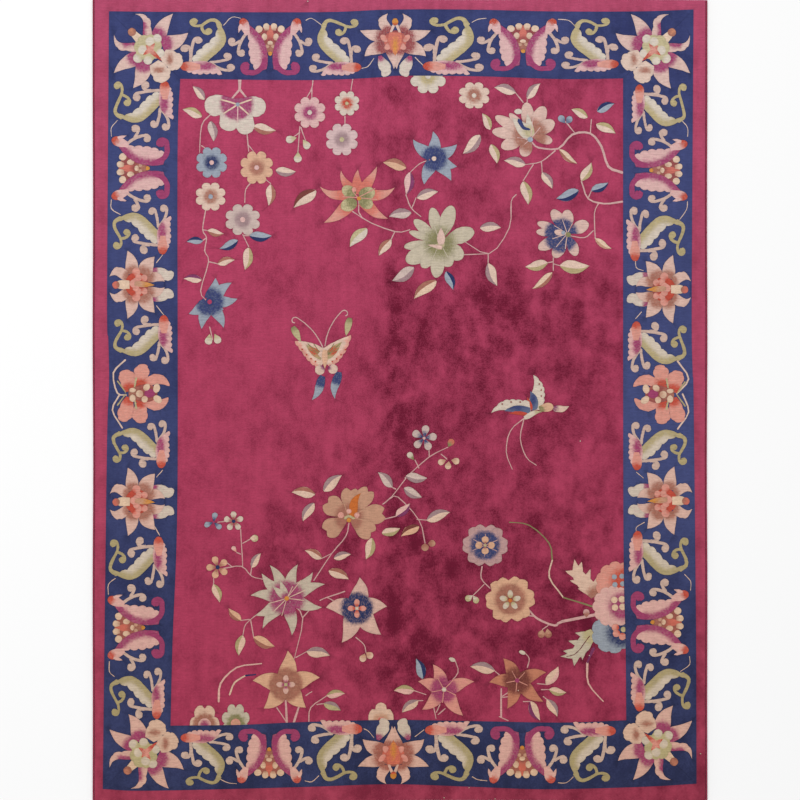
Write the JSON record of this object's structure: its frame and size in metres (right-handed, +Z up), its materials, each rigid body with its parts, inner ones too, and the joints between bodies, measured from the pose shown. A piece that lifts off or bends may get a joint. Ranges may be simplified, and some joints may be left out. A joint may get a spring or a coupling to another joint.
{
  "type": "chinese art deco rug",
  "caption": "Flat rectangular room-size hand-knotted pile rug with rounded pile edges and a wrapped cord along each long side.",
  "frame": {"origin": "on the floor under the middle of the rug", "axes": "+Z up out of the pile, +Y along the rug's length (the warp) towards the end with the hanging flower sprays, +X across its width (the weft)"},
  "size_m": [2.69, 3.505, 0.012],
  "materials": {
    "wool_pile": "clipped wool pile, raspberry ground with a navy border, matt with a faint sheen",
    "wrapped_cord": "dark crimson wool wrapped over a cord, matt"
  },
  "bodies": {
    "root": {"rug_pile": "wool_pile", "selvedge_left": "wrapped_cord", "selvedge_right": "wrapped_cord"}
  },
  "joints": []
}
